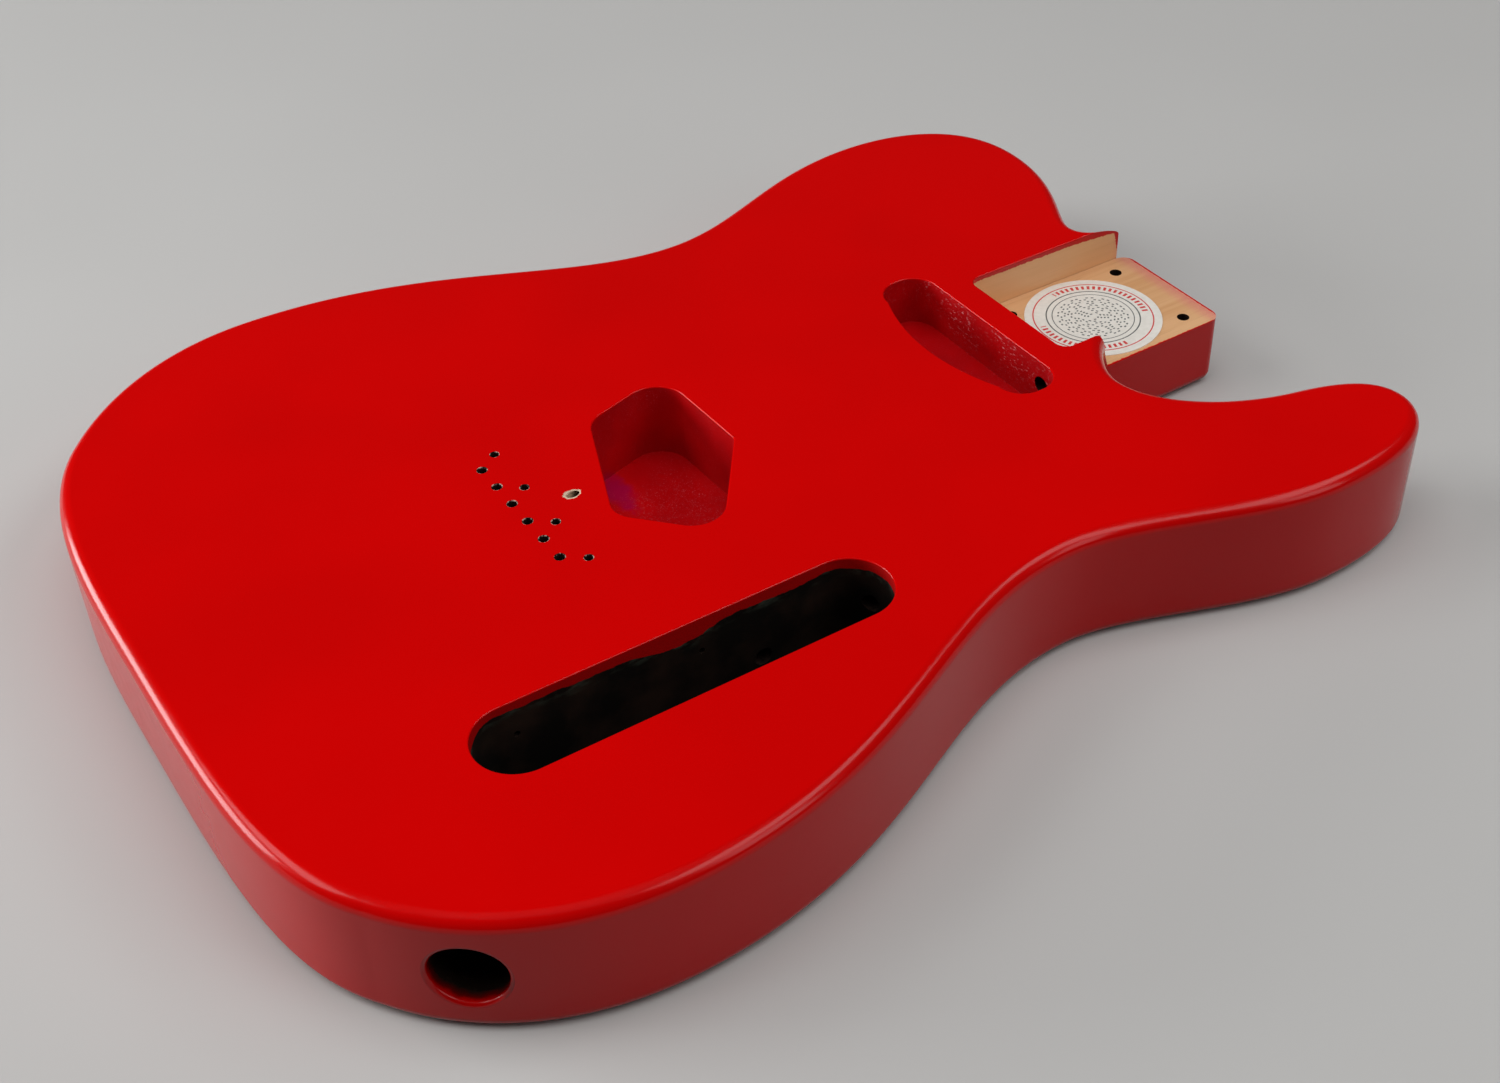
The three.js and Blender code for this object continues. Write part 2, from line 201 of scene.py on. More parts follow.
# Lamps: azimuth, with 0 along +X and 90 along +Y, elevation, distance, sides and power, and the one
# that the lacquer doesn't mirror
LAMPS = {
    "left_lamp": (139, 12, 1.9, (1.2, 0.7), 26.5),
    "right_lamp": (-42, 51, 1.8, (1.7, 0.55), 9.0),
    "side_lamp": (-60, 26, 1.8, (0.64, 0.64), 2.8),
    "fill_lamp": (150, 42, 1.9, (1.18, 0.68), 10.0),
    "top_lamp": (230, 82, 1.9, (1.6, 1.6), 18.4),
}
NOT_MIRRORED = "top_lamp"
WORLD_LEVEL = 0.03

# What the lamps face, and the floor, which lies just under the back
MIDDLE = (-0.166, 0.0, 0.03)
FLOOR_RADIUS = 9.0
FLOOR_SIDES = 96
FLOOR_DROP = 0.0003

# Colours, each as shares of red, green and blue
RED = (0.6, 0.0, 0.0)
RED_SHADE = (0.56, 0.0, 0.0)
RED_MIST = (0.66, 0.2, 0.18)
ROUT_RED = (0.5, 0.0, 0.002)
ROUT_SHADE = (0.4, 0.0, 0.002)
ROUT_VIOLET = (0.24, 0.0, 0.08)
ROUT_DUST = (0.55, 0.08, 0.1)
ROUT_STREAK = (0.75, 0.28, 0.3)
CAVITY_RED = (0.42, 0.0, 0.0)
# The jack's red on its lip and in its bore, darkened as painted shade
LIP_RED_PAINTED_SHADE = (0.45, 0.0, 0.0)
BORE_RED_PAINTED_SHADE = (0.12, 0.0, 0.0)
WOOD_LIGHT = (0.72, 0.42, 0.215)
WOOD_DARK = (0.63, 0.33, 0.15)
# The pocket walls' wood, lighter than the floor's as painted light
WOOD_WALL_PAINTED_LIGHT = (0.94, 0.54, 0.26)
WOOD_PORE = (0.34, 0.16, 0.07)
WOOD_DRILLED = (0.12, 0.05, 0.03)
CHIP_PALE = (0.66, 0.5, 0.36)
# The slanted hole's wood further in, darkened as painted shade
CHIP_TAN_PAINTED_SHADE = (0.3, 0.2, 0.12)
CHIP_DARK_PAINTED_SHADE = (0.03, 0.012, 0.008)
# Hole insides, near black in patches of black and brown as painted shade, and bare wood at chipped mouths
HOLE_SHADE_BLACK = (0.006, 0.004, 0.004)
HOLE_SHADE_BROWN = (0.025, 0.014, 0.01)
HOLE_CHIP_WOOD = (0.46, 0.33, 0.28)
PAINT_BLACK = (0.005, 0.004, 0.003)
PAINT_BROWN = (0.022, 0.012, 0.008)
PAINT_THIN = (0.055, 0.07, 0.052)
PAPER_WHITE = (0.8, 0.77, 0.71)
PAPER_SHADE = (0.74, 0.71, 0.65)
INK_RED = (0.62, 0.05, 0.05)
INK_GREY = (0.09, 0.1, 0.1)
FLOOR_LIGHT = (0.51, 0.505, 0.495)
FLOOR_SHADE = (0.48, 0.475, 0.465)
FLOOR_UNSEEN = (0.16, 0.16, 0.155)

# How finely curves are cut
OUTLINE_STEP = 0.9
ROUT_STEP = 0.6
EDGE_STEPS = 12
RIM_STEPS = 5
HOLE_SIDES = 40
JACK_SIDES = 96
LABEL_SECTORS = 240

# Camera: a 36 mm wide sensor, angles in degrees, place in millimetres of the CAD frame
LENS = 48.06
SENSOR = 36.0
CAMERA_AZIMUTH = -31.02
CAMERA_ELEVATION = 39.44
CAMERA_ROLL = -2.36
CAMERA_PLACE = (-436.73, -468.77, 441.71)


def place(x, y, z):
    """A layout point in the CAD frame, in metres."""
    return Vector(((x + LAYOUT_SHIFT) * MM, y * MM, z * MM))


def heading(degrees):
    turn = math.radians(degrees)
    return Vector((math.cos(turn), math.sin(turn)))


# Flat curves

def arc_points(centre, radius, start, sweep, step):
    count = max(4, math.ceil(abs(math.radians(sweep)) * radius / step))
    return [centre + heading(start + sweep * i / count) * radius for i in range(count + 1)]


def span_points(start, end, step):
    """A Bezier span between two knots, each (point, angle, reach)."""
    first = start[0]
    second = first + heading(start[1]) * start[2]
    fourth = end[0]
    third = fourth - heading(end[1]) * end[2]
    reach = (second - first).length + (third - second).length + (fourth - third).length
    count = max(4, math.ceil(reach / step))
    points = []
    for i in range(count + 1):
        t = i / count
        s = 1 - t
        point = first * s * s * s + second * 3 * s * s * t + third * 3 * s * t * t + fourth * t * t * t
        points.append(point)
    return points


def line_points(start, end, step):
    count = max(1, math.ceil((end - start).length / step))
    return [start.lerp(end, i / count) for i in range(count + 1)]


def without_doubles(points, gap=0.02):
    kept = []
    for point in points:
        if not kept or (point - kept[-1]).length > gap:
            kept.append(point)
    if (kept[0] - kept[-1]).length <= gap:
        kept.pop()
    return kept


def pocket_half(x):
    return POCKET_WIDTH / 2 - (POCKET_TAPER / 2) * (x / HEEL_LENGTH)


def jack_start():
    """Where the jack's bore begins: the middle of the cavity's rear end."""
    return Vector((-CAVITY_SETBACK - CAVITY_LENGTH + CAVITY_WIDTH / 2, CAVITY_Y))


def body_outline():
    """The slab's outline, anticlockwise from the heel's front face."""
    r = HEEL_CORNER
    bass_corner = Vector((HEEL_LENGTH - r, HEEL_BASS_HALF - r))
    treble_corner = Vector((HEEL_LENGTH - r, -HEEL_TREBLE_HALF + r))
    front_low = Vector((HEEL_LENGTH, -HEEL_TREBLE_HALF + r))
    points = line_points(front_low, Vector((HEEL_LENGTH, HEEL_BASS_HALF - r)), OUTLINE_STEP)
    points += arc_points(bass_corner, r, 0, EAR_ANGLE, OUTLINE_STEP)
    notch = Vector((HEEL_LENGTH - NOTCH_SETBACK, HEEL_BASS_HALF + NOTCH_RISE))
    knots = [
        (bass_corner + heading(EAR_ANGLE) * r, 90 + EAR_ANGLE, 0, EAR_HANDLE),
        (notch, 90, NOTCH_HANDLE, 2 * NOTCH_HANDLE),
    ]
    for x, y, angle, before, after in BOUT_SHARES:
        point = Vector((x * BODY_LENGTH, y * BODY_WIDTH))
        knots.append((point, angle, before * BODY_LENGTH, after * BODY_LENGTH))
    fillet_y = -pocket_half(TREBLE_FILLET_LENGTH) - HEEL_MARGIN
    knots.append((Vector((TREBLE_FILLET_LENGTH, fillet_y)), 360, TREBLE_FILLET_HANDLE, 0))
    for a, b in zip(knots, knots[1:]):
        points += span_points((a[0], a[1], a[3]), (b[0], b[1], b[2]), OUTLINE_STEP)
    points += line_points(knots[-1][0], Vector((HEEL_LENGTH - r, -HEEL_TREBLE_HALF)), OUTLINE_STEP)
    points += arc_points(treble_corner, r, -90, 90, OUTLINE_STEP)
    return without_doubles(points)


def wall_distance(start, way, outline):
    """How far from a point the outline lies along a direction."""
    best = None
    for a, b in zip(outline, outline[1:] + outline[:1]):
        side = b - a
        cross = way.x * side.y - way.y * side.x
        if abs(cross) < 1e-9:
            continue
        gap = a - start
        reach = (gap.x * side.y - gap.y * side.x) / cross
        share = (gap.x * way.y - gap.y * way.x) / cross
        if 0 <= share <= 1 and reach > 0 and (best is None or reach > best):
            best = reach
    return best


def rounded_polygon(corners):
    """An anticlockwise outline from corners, each (point, radius)."""
    points = []
    count = len(corners)
    for i, (corner, radius) in enumerate(corners):
        into = (corner - corners[i - 1][0]).normalized()
        away = (corners[(i + 1) % count][0] - corner).normalized()
        if radius == 0:
            points.append(corner)
            continue
        turn = into.angle_signed(away)
        reach = radius * math.tan(abs(turn) / 2)
        side = Vector((-into.y, into.x))
        centre = corner - into * reach + side * radius
        start = math.degrees(math.atan2(-side.y, -side.x))
        points += arc_points(centre, radius, start, math.degrees(abs(turn)), ROUT_STEP)
    return without_doubles(points)


def pocket_outline():
    front = HEEL_LENGTH + OVERRUN
    half = pocket_half(front)
    back_half = pocket_half(0)
    return rounded_polygon([
        (Vector((front, half)), 0),
        (Vector((0, back_half)), POCKET_CORNER),
        (Vector((0, -back_half)), POCKET_CORNER),
        (Vector((front, -half)), 0),
    ])


def neck_rout_outline():
    """Straight on the neck side, bowed out towards the bridge."""
    front = -NECK_ROUT_SETBACK
    rear = front - NECK_ROUT_WIDTH
    half = NECK_ROUT_LENGTH / 2
    r = NECK_ROUT_CORNER
    points = line_points(Vector((front, -half + r)), Vector((front, half - r)), ROUT_STEP)
    points += arc_points(Vector((front - r, half - r)), r, 0, 90, ROUT_STEP)
    points += arc_points(Vector((rear + r, half - r)), r, 90, 90, ROUT_STEP)
    points += bow_points(Vector((rear, half - r)), NECK_ROUT_BULGE, Vector((rear, -half + r)))
    points += arc_points(Vector((rear + r, -half + r)), r, 180, 90, ROUT_STEP)
    points += arc_points(Vector((front - r, -half + r)), r, 270, 90, ROUT_STEP)
    return without_doubles(points)


def bow_points(start, bulge, end):
    """A shallow bow between two points that leans out towards low x."""
    top = (start + end) / 2 - Vector((2 * bulge, 0))
    count = math.ceil((end - start).length / ROUT_STEP)
    points = []
    for i in range(count + 1):
        t = i / count
        points.append(start.lerp(top, t).lerp(top.lerp(end, t), t))
    return points


def bridge_rout_outline():
    low = Vector((-BRIDGE_ROUT_SETBACK - BRIDGE_ROUT_SPAN_X, -BRIDGE_ROUT_REACH))
    corners = []
    for x, y, radius in BRIDGE_ROUT_SHARES:
        point = low + Vector((x * BRIDGE_ROUT_SPAN_X, y * BRIDGE_ROUT_SPAN_Y))
        corners.append((point, radius * BRIDGE_ROUT_SPAN_X))
    return rounded_polygon(corners)


def cavity_outline():
    r = CAVITY_WIDTH / 2
    front = Vector((-CAVITY_SETBACK - r, CAVITY_Y))
    rear = Vector((-CAVITY_SETBACK - CAVITY_LENGTH + r, CAVITY_Y))
    points = arc_points(front, r, -90, 180, ROUT_STEP)
    points += arc_points(rear, r, 90, 180, ROUT_STEP)
    return without_doubles(points)


# Shader and geometry nodes

def add_node(tree, kind, settings=None, **sockets):
    """A new node with its settings and the values of its named sockets."""
    node = tree.nodes.new(kind)
    for name, value in (settings or {}).items():
        setattr(node, name, value)
    for name, value in sockets.items():
        node.inputs[name.replace("_", " ")].default_value = value
    return node


def link(tree, source, target):
    tree.links.new(source, target)


def math_node(tree, operation, a, b=None, c=None):
    """A Math node. Each value is a number or a socket. Gives the output socket."""
    node = tree.nodes.new("ShaderNodeMath")
    node.operation = operation
    for socket, value in zip(node.inputs, (a, b, c)):
        if value is None:
            continue
        if isinstance(value, (int, float)):
            socket.default_value = value
        else:
            link(tree, value, socket)
    return node.outputs[0]


def times(tree, a, b):
    return math_node(tree, "MULTIPLY", a, b)


def plus(tree, a, b):
    return math_node(tree, "ADD", a, b)


def new_tree(name, output, inputs):
    """A Geometry Nodes tree with inputs of the given names and kinds, and one geometry out."""
    tree = bpy.data.node_groups.new(name, "GeometryNodeTree")
    for title, kind in inputs.items():
        tree.interface.new_socket(title, in_out="INPUT", socket_type="NodeSocket" + kind)
    tree.interface.new_socket(output, in_out="OUTPUT", socket_type="NodeSocketGeometry")
    return tree, tree.nodes.new("NodeGroupInput").outputs


# Sweeping a wall with a softened rim and foot along an outline

def wall_sweep_tree():
    """Geometry Nodes: an outline's wall, from the rim at the top down to the foot.

    Rim Way is 1 where the rim flares out, as in a cutter, and -1 where it turns in, as on the slab.
    """
    tree, given = new_tree("wall_sweep", "Wall", {
        "Outline": "Geometry",
        "Top": "Float",
        "Foot": "Float",
        "Rim Radius": "Float",
        "Rim Way": "Float",
        "Foot Radius": "Float",
        "Collar": "Float",
        "Steps": "Int",
        "Finish": "Material",
    })
    rim = times(tree, given["Rim Radius"], given["Rim Way"])
    rim_base = math_node(tree, "SUBTRACT", given["Top"], given["Rim Radius"])
    foot_top = plus(tree, given["Foot"], given["Foot Radius"])
    flip = times(tree, given["Rim Way"], -1.0)
    foot_in = times(tree, given["Foot Radius"], -1.0)
    collar_top = plus(tree, given["Top"], given["Collar"])
    parts = tree.nodes.new("GeometryNodeJoinGeometry")
    collar = profile_line(tree, (rim, collar_top), (rim, given["Top"]))
    rim_arc = profile_arc(tree, given["Rim Radius"], 90, given["Steps"], (rim, rim_base), flip)
    wall = profile_line(tree, (None, rim_base), (None, foot_top))
    foot_arc = profile_arc(tree, given["Foot Radius"], 0, given["Steps"], (foot_in, foot_top), None)
    for part in (foot_arc, wall, rim_arc, collar):
        link(tree, part, parts.inputs[0])
    turned = add_node(tree, "GeometryNodeTransform", Scale=(1, -1, 1))
    link(tree, parts.outputs[0], turned.inputs["Geometry"])
    sweep = tree.nodes.new("GeometryNodeCurveToMesh")
    link(tree, given["Outline"], sweep.inputs["Curve"])
    link(tree, turned.outputs[0], sweep.inputs["Profile Curve"])
    weld = add_node(tree, "GeometryNodeMergeByDistance", Distance=WELD)
    link(tree, sweep.outputs[0], weld.inputs["Geometry"])
    finish_tree(tree, weld.outputs[0], given["Finish"])
    return tree


def profile_line(tree, start, end):
    """A straight stretch of a profile between two points, each (out, up)."""
    line = tree.nodes.new("GeometryNodeCurvePrimitiveLine")
    for name, (out, up) in (("Start", start), ("End", end)):
        link(tree, pair(tree, out, up), line.inputs[name])
    return line.outputs[0]


def profile_arc(tree, radius, start, steps, centre, stretch):
    """A quarter turn of a profile, clockwise from the start angle, stretched along its first axis."""
    first = math.radians(start)
    sweep = math.radians(-90)
    arc = add_node(tree, "GeometryNodeCurveArc", {"mode": "RADIUS"}, Start_Angle=first, Sweep_Angle=sweep)
    link(tree, steps, arc.inputs["Resolution"])
    link(tree, radius, arc.inputs["Radius"])
    moved = tree.nodes.new("GeometryNodeTransform")
    link(tree, arc.outputs[0], moved.inputs["Geometry"])
    link(tree, pair(tree, *centre), moved.inputs["Translation"])
    if stretch is not None:
        scale = add_node(tree, "ShaderNodeCombineXYZ", Y=1, Z=1)
        link(tree, stretch, scale.inputs["X"])
        link(tree, scale.outputs[0], moved.inputs["Scale"])
    return moved.outputs[0]


def pair(tree, x, y):
    node = tree.nodes.new("ShaderNodeCombineXYZ")
    for name, value in (("X", x), ("Y", y)):
        if value is not None:
            link(tree, value, node.inputs[name])
    return node.outputs[0]


def finish_tree(tree, geometry, material):
    """Ends a tree in Realize Instances and Set Material."""
    real = tree.nodes.new("GeometryNodeRealizeInstances")
    coated = tree.nodes.new("GeometryNodeSetMaterial")
    out = tree.nodes.new("NodeGroupOutput")
    link(tree, geometry, real.inputs[0])
    link(tree, real.outputs[0], coated.inputs["Geometry"])
    link(tree, material, coated.inputs["Material"])
    link(tree, coated.outputs[0], out.inputs[0])


def drill_row_tree():
    """Geometry Nodes: a drill repeated in a straight row, from its first place in equal steps."""
    tree, given = new_tree("drill_row", "Row", {
        "Drill": "Geometry",
        "Count": "Int",
        "Start": "Vector",
        "Step": "Vector",
        "Finish": "Material",
    })
    row = tree.nodes.new("GeometryNodeMeshLine")
    link(tree, given["Count"], row.inputs["Count"])
    link(tree, given["Start"], row.inputs["Start Location"])
    link(tree, given["Step"], row.inputs["Offset"])
    copies = tree.nodes.new("GeometryNodeInstanceOnPoints")
    link(tree, row.outputs[0], copies.inputs["Points"])
    link(tree, given["Drill"], copies.inputs["Instance"])
    finish_tree(tree, copies.outputs[0], given["Finish"])
    return tree


def grow(thing, tree, **values):
    """Runs a node tree on a new object and gives the plain mesh. The object goes."""
    modifier = thing.modifiers.new(tree.name, "NODES")
    modifier.node_group = tree
    for item in tree.interface.items_tree:
        key = item.name.replace(" ", "_")
        if item.in_out == "INPUT" and key in values:
            modifier[item.identifier] = values[key]
    return settled(thing)


def settled(thing):
    """The evaluated object as a plain mesh."""
    bpy.context.view_layer.update()
    graph = bpy.context.evaluated_depsgraph_get()
    mesh = bpy.data.meshes.new_from_object(thing.evaluated_get(graph), depsgraph=graph)
    bpy.data.objects.remove(thing)
    return mesh


def show(name, data):
    thing = bpy.data.objects.new(name, data)
    bpy.context.scene.collection.objects.link(thing)
    return thing


def outline_object(points):
    """A closed curve through layout points, at height nought."""
    data = bpy.data.curves.new("outline", "CURVE")
    data.dimensions = "3D"
    data.twist_mode = "Z_UP"
    spline = data.splines.new("POLY")
    spline.points.add(len(points) - 1)
    spline.use_cyclic_u = True
    for spot, point in zip(spline.points, points):
        spot.co = (*place(point.x, point.y, 0), 1)
    return show("outline", data)


def close_ends(mesh):
    """Fills the open loops of a swept wall and turns its faces outwards."""
    work = bmesh.new()
    work.from_mesh(mesh)
    rims = [e for e in work.edges if e.is_boundary]
    bmesh.ops.holes_fill(work, edges=rims, sides=0)
    bmesh.ops.recalc_face_normals(work, faces=work.faces)
    work.to_mesh(mesh)
    work.free()
    return mesh


def swept(points, material, top, foot, rim, way, foot_radius, collar, steps):
    """A closed body under an outline. Sizes in millimetres."""
    mesh = grow(
        outline_object(points), WALL_SWEEP, Top=top * MM, Foot=foot * MM, Rim_Radius=rim * MM,
        Rim_Way=float(way), Foot_Radius=foot_radius * MM, Collar=collar * MM, Steps=steps,
        Finish=material,
    )
    return close_ends(mesh)


# Turned cutters

def join_rings(work, rings):
    """Walls from ring to ring, with a cap at each end."""
    sides = len(rings[0])
    for low, high in zip(rings, rings[1:]):
        for i in range(sides):
            j = (i + 1) % sides
            work.faces.new((low[i], low[j], high[j], high[i]))
    work.faces.new(rings[0][::-1])
    work.faces.new(rings[-1])


def split_caps(work):
    bmesh.ops.triangulate(work, faces=[face for face in work.faces if len(face.verts) > 4])


def finished(work, name, *materials):
    """The worked faces, turned outwards, as a mesh."""
    bmesh.ops.recalc_face_normals(work, faces=work.faces)
    mesh = bpy.data.meshes.new(name)
    work.to_mesh(mesh)
    work.free()
    for material in materials:
        mesh.materials.append(material)
    return mesh


def turned_mesh(profile):
    """A closed body turned round the z axis from (radius, height) points."""
    work = bmesh.new()
    rings = []
    for radius, height in profile:
        ring = []
        for i in range(HOLE_SIDES):
            turn = 2 * math.pi * i / HOLE_SIDES
            spot = (radius * math.cos(turn) * MM, radius * math.sin(turn) * MM, height * MM)
            ring.append(work.verts.new(spot))
        rings.append(ring)
    join_rings(work, rings)
    return finished(work, "turned")


def rim_profile(radius, top, up):
    """A hole's flared rim, from the shaft to past the face. up is 1 at the front, -1 at the back."""
    points = []
    for i in range(RIM_STEPS + 1):
        turn = math.pi / 2 * i / RIM_STEPS
        out = HOLE_RIM * (1 - math.cos(turn))
        points.append((radius + out, top + up * (-HOLE_RIM + HOLE_RIM * math.sin(turn))))
    points.append((radius + HOLE_RIM, top + up * OVERRUN))
    return points


def bore_mesh(start, end, diameter, material):
    """A plain round cutter between two layout points."""
    a = place(*start)
    b = place(*end)
    length = (b - a).length / MM
    mesh = turned_mesh([(diameter / 2, 0), (diameter / 2, length)])
    turn = Vector((0, 0, 1)).rotation_difference(b - a).to_matrix().to_4x4()
    mesh.transform(Matrix.Translation(a) @ turn)
    mesh.materials.append(material)
    return mesh


# Cutting, slicing and shading

def combined(mesh, cutter, operation):
    """The mesh less a cutter, or what lies inside it. The new faces take the cutter's material."""
    body = show("body", mesh)
    tool = show("tool", cutter)
    modifier = body.modifiers.new("cut", "BOOLEAN")
    modifier.operation = operation
    modifier.solver = "MANIFOLD"
    modifier.material_mode = "TRANSFER"
    modifier.object = tool
    result = settled(body)
    bpy.data.objects.remove(tool)
    return result


def sliced(mesh, low, high, material):
    """The part of the mesh between two values of y."""
    work = bmesh.new()
    bmesh.ops.create_cube(work, size=1)
    block = finished(work, "block", material)
    reach = 2 * BODY_LENGTH * MM
    height = (BODY_THICKNESS + 2 * OVERRUN) * MM
    spot = Matrix.Translation((0, (low + high) / 2 * MM, BODY_THICKNESS / 2 * MM))
    block.transform(spot @ Matrix.Diagonal((reach, (high - low) * MM, height, 1)))
    return combined(mesh.copy(), block, "INTERSECT")


def corner_key(point):
    return (round(point.x / WELD), round(point.y / WELD), round(point.z / WELD))


def soft_shaded(meshes, crease=40):
    """Smooth shading by face size, the same on both sides of a seam, broken at sharp edges."""
    limit = math.cos(math.radians(crease))
    around = {}
    for mesh in meshes:
        for face in mesh.polygons:
            for index in face.vertices:
                key = corner_key(mesh.vertices[index].co)
                around.setdefault(key, []).append((face.normal.copy(), face.area))
    for mesh in meshes:
        corners = []
        for face in mesh.polygons:
            own = face.normal.copy()
            for index in face.vertices:
                total = Vector((0, 0, 0))
                for normal, area in around[corner_key(mesh.vertices[index].co)]:
                    if normal.dot(own) >= limit:
                        total += normal * area
                corners.append(total.normalized() if total.length > 0 else own)
        for face in mesh.polygons:
            face.use_smooth = True
        mesh.normals_split_custom_set(corners)


# Finishes

def surface(name):
    """A new material: its tree, its Principled shader and a socket of Object coordinates."""
    material = bpy.data.materials.new(name)
    material.use_nodes = True
    tree = material.node_tree
    shader = tree.nodes["Principled BSDF"]
    spot = tree.nodes.new("ShaderNodeTexCoord").outputs["Object"]
    return material, tree, shader, spot


def noise(tree, spot, scale, detail, roughness=0.5, stretch=None):
    """A noise's value over the object, features of 1 / scale metres."""
    if stretch:
        mapping = add_node(tree, "ShaderNodeMapping", Scale=stretch)
        link(tree, spot, mapping.inputs["Vector"])
        spot = mapping.outputs[0]
    node = add_node(tree, "ShaderNodeTexNoise", Scale=scale, Detail=detail, Roughness=roughness)
    link(tree, spot, node.inputs["Vector"])
    return node.outputs[0]


def spread(tree, value, low, high, to_low, to_high, smooth=False):
    """A value's range from low to high brought to another range, held at its ends."""
    node = tree.nodes.new("ShaderNodeMapRange")
    node.interpolation_type = "SMOOTHSTEP" if smooth else "LINEAR"
    for name, number in (("From Min", low), ("From Max", high), ("To Min", to_low), ("To Max", to_high)):
        node.inputs[name].default_value = number
    link(tree, value, node.inputs["Value"])
    return node.outputs["Result"]


def blend_colours(tree, share, first, second):
    """A mix of two colours, each a socket or three numbers. The share of the second is a socket."""
    node = tree.nodes.new("ShaderNodeMix")
    node.data_type = "RGBA"
    link(tree, share, node.inputs[0])
    for socket, colour in ((node.inputs[6], first), (node.inputs[7], second)):
        if isinstance(colour, tuple):
            socket.default_value = (*colour, 1)
        else:
            link(tree, colour, socket)
    return node.outputs[2]


def raise_bump(tree, shader, height, depth, strength):
    """Bump of a height from 0 to 1, whose full depth is in metres."""
    node = add_node(tree, "ShaderNodeBump", Strength=strength, Distance=depth)
    link(tree, height, node.inputs["Height"])
    link(tree, node.outputs[0], shader.inputs["Normal"])


def paint(tree, shader, share, first, second):
    """Colours a surface with a mix of two."""
    link(tree, blend_colours(tree, share, first, second), shader.inputs["Base Color"])


def dull(shader, roughness, shine=0.5):
    shader.inputs["Roughness"].default_value = roughness
    shader.inputs["Specular IOR Level"].default_value = shine


def in_mm(tree, spot):
    """The layout coordinates in millimetres as three sockets."""
    scaled = add_node(tree, "ShaderNodeVectorMath", {"operation": "SCALE"}, Scale=1 / MM)
    link(tree, spot, scaled.inputs[0])
    parts = tree.nodes.new("ShaderNodeSeparateXYZ")
    link(tree, scaled.outputs[0], parts.inputs[0])
    x = math_node(tree, "SUBTRACT", parts.outputs["X"], LAYOUT_SHIFT)
    return x, parts.outputs["Y"], parts.outputs["Z"]


def wobble(tree, spot, scale, reach, detail=2.0):
    """A noise that swings between minus and plus the reach."""
    return spread(tree, noise(tree, spot, scale, detail), 0.3, 0.7, -reach, reach)


def red_lacquer():
    material, tree, shader, spot = surface("red_lacquer")
    drift = spread(tree, noise(tree, spot, 14, 2), 0.35, 0.65, 0, 1)
    paint(tree, shader, drift, RED_SHADE, RED)
    haze = spread(tree, noise(tree, spot, 160, 4), 0.3, 0.7, 0.16, 0.21)
    link(tree, haze, shader.inputs["Roughness"])
    shader.inputs["Specular IOR Level"].default_value = 0.26
    raise_bump(tree, shader, noise(tree, spot, 420, 2), 0.00002, 0.1)
    return material


def wood_grain(tree, spot):
    """Pale wood with fine grain along the body: colour and height sockets."""
    streaks = noise(tree, spot, 420, 3, 0.55, (0.035, 1, 1))
    bands = noise(tree, spot, 60, 2, 0.5, (0.12, 1, 1))
    pores = noise(tree, spot, 1500, 2, 0.6, (0.03, 1, 1))
    tone = spread(tree, plus(tree, streaks, bands), 0.75, 1.25, 0, 1)
    base = blend_colours(tree, tone, WOOD_DARK, WOOD_LIGHT)
    dark = spread(tree, pores, 0.62, 0.75, 0, 0.4)
    return blend_colours(tree, dark, base, WOOD_PORE), streaks


def pocket_wood():
    """Bare wood, masked while the body was sprayed: red creeps in round the mask's edges."""
    material, tree, shader, spot = surface("pocket_wood")
    grain, height = wood_grain(tree, spot)
    x, y, z = in_mm(tree, spot)
    # Painted light: the walls take a lighter copy of the wood than the floor
    wall = spread(tree, z, POCKET_FLOOR + 0.3, POCKET_FLOOR + 0.8, 0, 1)
    grain = blend_colours(tree, times(tree, wall, 0.5), grain, WOOD_WALL_PAINTED_LIGHT)
    ragged = wobble(tree, spot, 900, 0.25, 4)
    drop = spread(tree, x, POCKET_MASK_BEND, HEEL_LENGTH, 0, 1)
    drop = times(tree, times(tree, drop, drop), POCKET_MASK_DROP)
    over = plus(tree, plus(tree, z, drop), ragged)
    top_red = spread(tree, over, POCKET_MASK_TOP, POCKET_MASK_TOP + POCKET_MASK_BLUR, 0, 1, True)
    lean = math_node(tree, "MULTIPLY_ADD", z, POCKET_MASK_LEAN, x)
    lean = plus(tree, lean, ragged)
    end_red = spread(tree, lean, POCKET_MASK_END, POCKET_MASK_END + POCKET_MASK_BLUR, 0, 1, True)
    end_red = times(tree, end_red, wall)
    side = plus(tree, y, ragged)
    side_red = spread(tree, side, -HEEL_TREBLE_HALF + 0.1, -HEEL_TREBLE_HALF + 0.5, 1, 0, True)
    front = plus(tree, x, ragged)
    front_red = spread(tree, front, HEEL_LENGTH - 0.9, HEEL_LENGTH - 0.5, 0, 1, True)
    edge = math_node(tree, "MAXIMUM", math_node(tree, "MAXIMUM", top_red, end_red), side_red)
    edge = math_node(tree, "MAXIMUM", edge, front_red)
    mist = spread(tree, front, HEEL_LENGTH - 8, HEEL_LENGTH - 0.8, 0, 0.95, True)
    speck = spread(tree, noise(tree, spot, 1900, 3, 0.7), 0.4, 0.6, 0.45, 1)
    mist = times(tree, mist, speck)
    misted = blend_colours(tree, mist, grain, RED_MIST)
    paint(tree, shader, edge, misted, RED_SHADE)
    dull(shader, 0.5)
    raise_bump(tree, shader, height, 0.00005, 0.5)
    return material


def drilled_wood():
    material, tree, shader, spot = surface("drilled_wood")
    colour, height = wood_grain(tree, spot)
    shade = spread(tree, noise(tree, spot, 900, 3), 0.35, 0.65, 0.35, 0.7)
    paint(tree, shader, shade, colour, WOOD_DRILLED)
    dull(shader, 0.8)
    raise_bump(tree, shader, height, 0.0001, 0.6)
    return material


